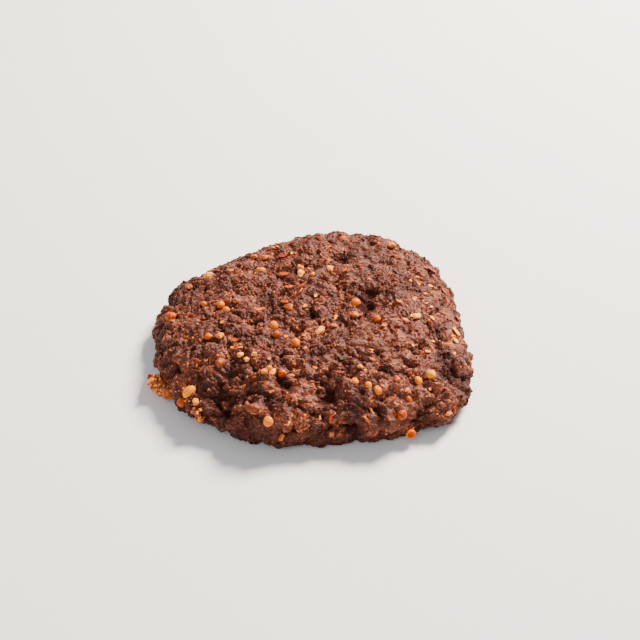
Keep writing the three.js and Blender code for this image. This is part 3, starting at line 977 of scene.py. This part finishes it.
def seed_shape():
    """A coriander seed one across, with ribs and a blunt tip, and how far up its rib each corner is."""
    bm = bmesh.new()
    bmesh.ops.create_uvsphere(bm, u_segments=4 * SEED_RIBS, v_segments=20, radius=0.5)
    points, faces = triangles_of(bm)
    bearing = np.arctan2(points[:, 1], points[:, 0])
    rib = np.cos(SEED_RIBS * bearing) * np.linalg.norm(points[:, :2], axis=1)
    points *= 1 + RIB_HEIGHT * rib[:, None]
    points[:, 2] += SEED_TIP["height"] * smoothstep((points[:, 2] - SEED_TIP["from"]) / SEED_TIP["over"])
    return points, faces, rib


def husk_shape():
    """Half of a coriander husk: a thin open cup."""
    bm = bmesh.new()
    bmesh.ops.create_uvsphere(bm, u_segments=24, v_segments=12, radius=0.5)
    everything = bm.verts[:] + bm.edges[:] + bm.faces[:]
    opening = (0, 0, HUSK["opening"])
    bmesh.ops.bisect_plane(bm, geom=everything, plane_co=opening, plane_no=(0, 0, 1), clear_outer=True)
    bmesh.ops.solidify(bm, geom=bm.faces[:], thickness=HUSK["wall"])
    bmesh.ops.recalc_face_normals(bm, faces=bm.faces[:])
    return triangles_of(bm)


def marked(rows, depth=LOOSE_DEPTH):
    """Where the rows' bits sit, this deep: middles, axes, sizes along, across and up, and tones."""
    bearing, way, width, stretch, lean, sunk, tone = np.array(rows, float).T
    point, out = crust(np.radians(bearing), way)
    middle = point + out * (width * (0.5 - sunk) - depth)[:, None]
    middle[:, 2] = np.maximum(middle[:, 2], width * LEAST_RISE)
    sizes = np.stack([width * stretch, width, width], 1)
    return middle, axes_on(out, leaning(lean)), sizes, tone


def back_seeds():
    """Rows for the seeds of the back, in the form that SEEDS has."""
    rows = []
    for i in range(BACK["seeds"]):
        share, draw, tone = (i * GOLDEN_SHARE) % 1, float(chance(i, 2)), float(chance(i, 3)) ** 2
        bearing = BACK["from"] + (BACK["to"] - BACK["from"]) * share
        way = np.interp((i + float(chance(i, 1))) / BACK["seeds"], (0, 1), BACK["ways"])
        rows.append((bearing, way, np.interp(draw, (0, 1), BACK["widths"]), 1.0, 0, BACK["sunk"], tone))
    return rows


def nub_crumbs():
    """Rows for the crumbs of the nub, in the form that CRUMBS has."""
    rows = []
    for i in range(NUB["crumbs"]):
        turn = i / NUB["crumbs"] * 2 * math.pi
        reach = NUB["spread"] / rim_radius(np.radians([NUB["bearing"]]))[0]
        bearing = NUB["bearing"] + math.degrees(reach * math.cos(turn))
        way = NUB["way"] + NUB["spread"] * math.sin(turn) / HEIGHT / 2 / (SOLID_SIDE_SHARE * math.pi)
        rise = np.interp(i, (0, NUB["crumbs"] - 1), NUB["rises"])
        form = (NUB["width"], NUB_CRUMB["stretch"], math.degrees(turn), 0.5 - rise, NUB_CRUMB["tone"])
        rows.append((bearing, way, *form))
    return rows


def whole_seeds(husk, rng):
    middles, axes, sizes, tone = marked(SEEDS + back_seeds())
    base, faces, rib = seed_shape()
    tips = unit(rng.normal(size=(len(middles), 3)) + axes[:, 0])
    turns = axes_on(tips, axes[:, 1])
    # The tip of the first and longest seed points along its lean. The others' tips point by chance.
    turns[0] = axes[0][[1, 2, 0]]
    stretch = sizes[:, :1] / sizes[:, 1:2]
    local = swollen(np.repeat(base[None], len(middles), 0), SEED_SWELLS)
    points = np.einsum("nki,nij->nkj", local * sizes[:, 1:2, None], turns)
    along = np.einsum("nkj,nj->nk", points, axes[:, 0])
    above = np.einsum("nkj,nj->nk", points, axes[:, 2]) / sizes[:, 1:2]
    points += (along * (stretch - 1))[:, :, None] * axes[:, 0][:, None, :] + middles[:, None, :]
    faces = copied(faces, *local.shape[:2])
    # A seed is painted darker towards where it sits in the crust, as painted shade.
    mesh_object("coriander_seeds", points.reshape(-1, 3), faces, husk, "coriander_seed",
                tone=(tone[:, None] + 0.25 * rib + 0.5 * np.minimum(above - 0.1, 0)).ravel(),
                hollow=smoothstep((0.1 - above) / 0.5).ravel())
    return middles, sizes[:, 1]


def crumbs(name, rows, material, slot, rng):
    """Soft lumpy crumbs with broken corners."""
    middles, axes, sizes, tone = marked(rows)
    base, faces = ball_shape(4)
    local = swollen(broken(base, len(middles), *CRUMB_BREAKS, rng), CRUMB_SWELLS)
    local *= sizes[:, None, :] * CRUMB_FORM
    points, faces = placed(local, faces, middles, axes)
    mesh_object(name, points, faces, material, slot,
                tone=np.repeat(tone, len(base)), hollow=np.zeros(len(points)))
    return middles, CRUMB_SHYNESS * sizes[:, 1]


def granules(material, ground, rng):
    """Broken grains that cling to the nub's crumbs and the clusters', some pale and some browned."""
    middles, axes, sizes, _ = marked(CLUSTERS + nub_crumbs())
    core = np.repeat(np.arange(len(middles)), GRANULES["count"])
    count = len(core)
    # Directions out of a core, first in its own axes and then in the kebab's.
    out = unit(rng.normal(size=(count, 3)))
    outward = np.einsum("ni,nij->nj", out, axes[core])
    places = middles[core] + np.einsum("ni,nij->nj", out * sizes[core] * GRANULES["reach"], axes[core])
    base, faces = lump_shape()
    local = broken(base, count, *GRANULE_BREAKS, rng) * rng.uniform(*GRANULES["widths"], (count, 1, 1))
    points, faces = placed(local, faces, places, axes_on(out, rng.normal(size=(count, 3))))
    points = settled(points, outward, ground).reshape(-1, 3)
    tones = rng.uniform(*GRANULES["tones"], count)
    mesh_object("granules", points, faces, material, "crust", smooth=False,
                tone=np.repeat(tones, len(base)), hollow=np.zeros(len(points)))


def split_husks(husk, rng):
    bearing, way, width, sunk, tone = np.array(HUSKS, float).T
    point, out = crust(np.radians(bearing), way)
    middle = point + out * (width * (0.5 - sunk))[:, None]
    middle[:, 2] = np.maximum(middle[:, 2], width * HUSK_RISE)
    base, faces = husk_shape()
    facing = unit(out - HUSK["turn"] * AHEAD)
    rough = 1 + HUSK["rough"] * rng.uniform(-1, 1, (len(width), len(base), 1))
    local = base[None] * width[:, None, None] * rough
    points, faces = placed(local, faces, middle, axes_on(facing, leaning(np.zeros(len(width)))))
    mesh_object("split_husks", points, faces, husk, "coriander_seed",
                tone=np.repeat(tone, len(base)), hollow=np.zeros(len(points)))
    return middle, width


def curled_flakes(name, rows, material, slot, ground, rng):
    """Thin torn flakes that curl up at their edges and rest on the crust."""
    middles, axes, sizes, tone = marked(rows, depth=0)
    base, faces = ball_shape(3)
    local = swollen(broken(base, len(middles), *FLAKE_BREAKS, rng), FLAKE_SWELLS)
    local *= (1, 1, FLAKE["thick"])
    local[:, :, 2] += FLAKE["curl"] * (local[:, :, 0] ** 2 + FLAKE["across"] * local[:, :, 1] ** 2)
    points, faces = placed(local * sizes[:, None, :], faces, middles, axes)
    points = settled(points, axes[:, 2], ground)
    mesh_object(name, points.reshape(-1, 3), faces, material, slot,
                tone=np.repeat(tone, len(base)), hollow=np.zeros(points.size // 3))
    return points.mean(1), sizes[:, 1]


def scattered(ground, count, shy_of, rng):
    """Picks corners of the crust for loose bits, evenly over its area, clear of what is set one by one."""
    bare = smoothstep((ground["hollow"] - BARE_HOLLOWS["from"]) / BARE_HOLLOWS["over"])
    weight = ground["area"] * (ground["points"][:, 2] > LOWEST_LOOSE) * (1 - BARE_HOLLOWS["share"] * bare)
    for middles, widths in shy_of:
        for middle, width in zip(middles, widths):
            weight = weight * (((ground["points"] - middle) ** 2).sum(1) > (SHY_SHARE * width) ** 2)
    return rng.choice(len(weight), count, replace=False, p=weight / weight.sum())


def mostly_low(ends, power, count, rng):
    """Draws between two ends, more of them near the first."""
    return ends[0] + (ends[1] - ends[0]) * rng.uniform(0, 1, count) ** power


def loose_bits(name, shape, count, widths, longest, flat, tones, material, slot, ground, shy_of, rng):
    """Broken bits all over the crust, mostly sunk in it. Longest and flat are shares of a bit's width."""
    picks = scattered(ground, count, shy_of, rng)
    base, faces = shape
    width = mostly_low(widths, WIDTH_POWER, count, rng)
    stretch = rng.uniform(1.0, longest, count)
    thick = rng.uniform(flat, 2 * flat, count)
    form = np.stack([stretch, np.ones(count), thick], 1)
    out = unit(ground["normals"][picks] + LOOSE_TILT * rng.normal(size=(count, 3)))
    local = broken(base, count, *LOOSE_BREAKS, rng) * (width[:, None] * form)[:, None, :]
    rise = width * rng.uniform(*LOOSE_RISES, count)
    middles = ground["points"][picks] + ground["normals"][picks] * rise[:, None]
    points, faces = placed(local, faces, middles, axes_on(out, rng.normal(size=(count, 3))))
    # A bit takes on the crust's tone, with its painted light and shade, and its painted shade in hollows.
    tone = mostly_low(tones, TONE_POWER, count, rng) + GROUND_TONE * ground["tone"][picks]
    hollow = ground["hollow"][picks]
    mesh_object(name, points, faces, material, slot,
                tone=np.repeat(tone, len(base)), hollow=np.repeat(hollow, len(base)))


def laid_strands(name, spines, wide, thin, tone, hollow, material, slot, ground):
    """Strands whose spines lie along the crust and dip into it at both ends."""
    base, faces = strand_shape()
    ring = np.rint((base[:, 2] + 0.5) * (SPINE_POINTS - 1)).astype(int)
    places, out = laid(ground, spines)
    ends = np.abs(np.linspace(-1, 1, SPINE_POINTS))
    places = places + out * (thin[:, None] * (SPINE_RISE - SPINE_DIP * ends**2))[:, :, None]
    along = unit(np.gradient(places, axis=1))
    side = unit(np.cross(out, along))
    up = np.cross(along, side)
    taper = (1 - SPINE_TAPER * ends**3)[ring][None, :, None]
    across = side[:, ring] * (base[:, 0] * wide[:, None])[:, :, None]
    above = up[:, ring] * (base[:, 1] * thin[:, None])[:, :, None]
    points = places[:, ring] + (across + above) * taper
    points[:, :, 2] = np.maximum(points[:, :, 2], FLOOR_GAP)
    faces = copied(faces, len(spines), len(base))
    mesh_object(name, points.reshape(-1, 3), faces, material, slot,
                tone=np.repeat(tone, len(base)), hollow=np.repeat(hollow, len(base)))


def spines_at(middles, along, out, length, bend):
    """Curved lines through these middles, along the surface there."""
    t = np.linspace(-1, 1, SPINE_POINTS)[None, :, None]
    along = unit(along - (along * out).sum(1, keepdims=True) * out)
    side = np.cross(out, along)
    half = length[:, None, None] / 2
    straight = middles[:, None, :] + along[:, None, :] * t * half
    return straight + side[:, None, :] * (t**2 - BEND_LEVEL) * bend[:, None, None] * half


def mince_strands(material, ground, shy_of, rng):
    count = MINCE["strands"]
    picks = scattered(ground, count, shy_of, rng)
    out = ground["normals"][picks]
    length = rng.uniform(*MINCE["lengths"], count)
    along = rng.normal(size=(count, 3))
    bend = rng.uniform(*MINCE["bends"], count)
    spines = spines_at(ground["points"][picks], along, out, length, bend)
    thick = rng.uniform(*MINCE["thick"], count)
    # A strand takes on the crust's tone and painted shade where it lies.
    tone = mostly_low(MINCE["tones"], STRAND_TONE_POWER, count, rng) + GROUND_TONE * ground["tone"][picks]
    laid_strands("mince_strands", spines, thick * MINCE["wide"], thick, tone, ground["hollow"][picks],
                 material, "crust", ground)


def onion_slivers(material, ground):
    bearing, way, length, width, lean, tone = np.array(SLIVERS, float).T
    point, out = crust(np.radians(bearing), way)
    spines = spines_at(point, leaning(lean), out, length, np.full(len(length), SLIVER["bend"]))
    laid_strands("onion_slivers", spines, width * SLIVER["wide"], width * SLIVER["thick"], tone,
                 np.zeros(len(tone)), material, "onion_crumb", ground)


# The photograph's camera and plain studio light

def camera():
    data = bpy.data.cameras.new("photograph")
    data.sensor_width = SENSOR_MM
    data.lens = SENSOR_MM * FOCAL_PX / IMAGE_PX
    cam = bpy.data.objects.new("photograph", data)
    cam.rotation_euler = (math.pi / 2 - PITCH, 0, 0)
    across = (ORIGIN_PX[0] - IMAGE_PX / 2) / FOCAL_PX * ORIGIN_DEPTH
    above = (IMAGE_PX / 2 - ORIGIN_PX[1]) / FOCAL_PX * ORIGIN_DEPTH
    cam.location = Vector(-(RIGHT * across + UP * above + AHEAD * ORIGIN_DEPTH))
    bpy.context.scene.collection.objects.link(cam)
    bpy.context.scene.camera = cam


def softbox(name, place, size, watts, hex_colour):
    """A round light that faces the kebab."""
    data = bpy.data.lights.new(name, "AREA")
    data.shape = "DISK"
    data.size = size
    data.energy = watts
    data.color = linear(hex_colour)[:3]
    lamp = bpy.data.objects.new(name, data)
    lamp.location = place
    lamp.rotation_euler = (-Vector(place)).to_track_quat("-Z", "Y").to_euler()
    bpy.context.scene.collection.objects.link(lamp)


def studio():
    for light in SOFTBOXES:
        softbox(*light)
    world = bpy.data.worlds.new("white room")
    world.use_nodes = True
    background = world.node_tree.nodes["Background"]
    background.inputs["Color"].default_value = linear(ROOM_COLOUR)
    background.inputs["Strength"].default_value = ROOM_LIGHT
    bpy.context.scene.world = world
    bm = bmesh.new()
    bmesh.ops.create_grid(bm, x_segments=1, y_segments=1, size=FLOOR_REACH)
    mesh_object("floor", *triangles_of(bm), white_paper(), None)


camera()
studio()

body = patty()
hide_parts("kebab")
ground = ground_of(body)

rng = np.random.default_rng(DRAWS_FROM)
mince, husk, onion, chilli = fried_mince(), coriander_husk(), fried_onion(), chilli_skin()
shy_of = [whole_seeds(husk, rng), split_husks(husk, rng)]
shy_of.append(crumbs("onion_crumbs", CRUMBS + CHUNK + CLUSTERS + nub_crumbs(), onion, "onion_crumb", rng))
shy_of.append(curled_flakes("chilli_flakes", FLAKES, chilli, "chilli_flake", ground, rng))
shy_of.append(curled_flakes("leaf_bits", LEAF_BITS, fried_leaf(), "herb", ground, rng))
shy_of.append(curled_flakes("flecks", FLECKS, husk, "coriander_seed", ground, rng))
granules(mince, ground_of(bpy.data.objects["onion_crumbs"]), rng)
lump = lump_shape()
shred = ball_shape(1)
# Loose bits: name, shape, how many, widths, longest, flattest, tones, material, slot.
LOOSE_BITS = [
    ("mince_lumps", lump, 500, (1.3, 2.3), 1.6, 0.4, (0.2, 0.65), mince, "crust"),
    ("mince_shreds", shred, 9800, (0.4, 1.0), 3.2, 0.35, (0.2, 0.85), mince, "crust"),
    ("onion_bits", shred, 3200, (0.35, 1.1), 2.0, 0.35, (0.0, 0.85), onion, "onion_crumb"),
    ("husk_bits", shred, 1200, (0.5, 1.6), 1.8, 0.25, (0.0, 0.6), husk, "coriander_seed"),
    ("chilli_bits", shred, 500, (0.5, 1.5), 2.4, 0.2, (0.1, 0.8), chilli, "chilli_flake"),
]
for row in LOOSE_BITS:
    loose_bits(*row, ground, shy_of, rng)
mince_strands(mince, ground, shy_of, rng)
onion_slivers(onion, ground)
